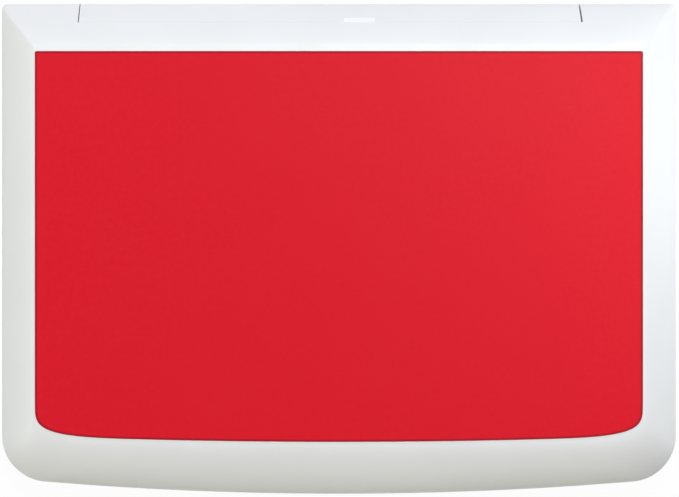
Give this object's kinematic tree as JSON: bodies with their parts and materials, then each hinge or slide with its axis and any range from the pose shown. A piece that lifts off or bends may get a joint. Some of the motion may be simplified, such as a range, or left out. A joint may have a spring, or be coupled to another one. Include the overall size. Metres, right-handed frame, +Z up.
{
  "type": "ink pad",
  "caption": "Flat moulded case with a hinged, sloped lid and a red top label, holding a cloth-covered felt pad that inks rubber stamps.",
  "frame": {"origin": "middle of the case's outline, on the surface it stands on", "axes": "+X across the case to the right, +Y to the hinge at the back, +Z up"},
  "size_m": [0.132, 0.096, 0.018],
  "materials": {
    "case_plastic_base": "white moulded plastic, fine matt grain",
    "case_plastic_lid": "white moulded plastic, fine matt grain",
    "tray_plastic": "white moulded plastic",
    "frame_plastic": "white moulded plastic",
    "ink_felt": "felt soaked with red ink",
    "ink_cloth": "fine woven cloth, damp with red ink",
    "pin_steel": "plain steel wire",
    "label_red": "coated red printed label, satin",
    "label_white": "plain white label"
  },
  "bodies": {
    "base": {"base_shell": "case_plastic_base", "base_label": "label_white", "pad_tray": "tray_plastic", "felt_core": "ink_felt", "pad_cloth": "ink_cloth", "cloth_frame": "frame_plastic", "hinge_pin_left": "pin_steel", "hinge_pin_right": "pin_steel"},
    "lid": {"lid_shell": "case_plastic_lid", "lid_label": "label_red"}
  },
  "joints": [
    {"name": "lid_hinge", "type": "hinge", "parent": "base", "child": "lid", "pos_m": [0, 0.0454, 0.0088], "axis": [-1, 0, 0], "range_deg": [0, 150]}
  ]
}
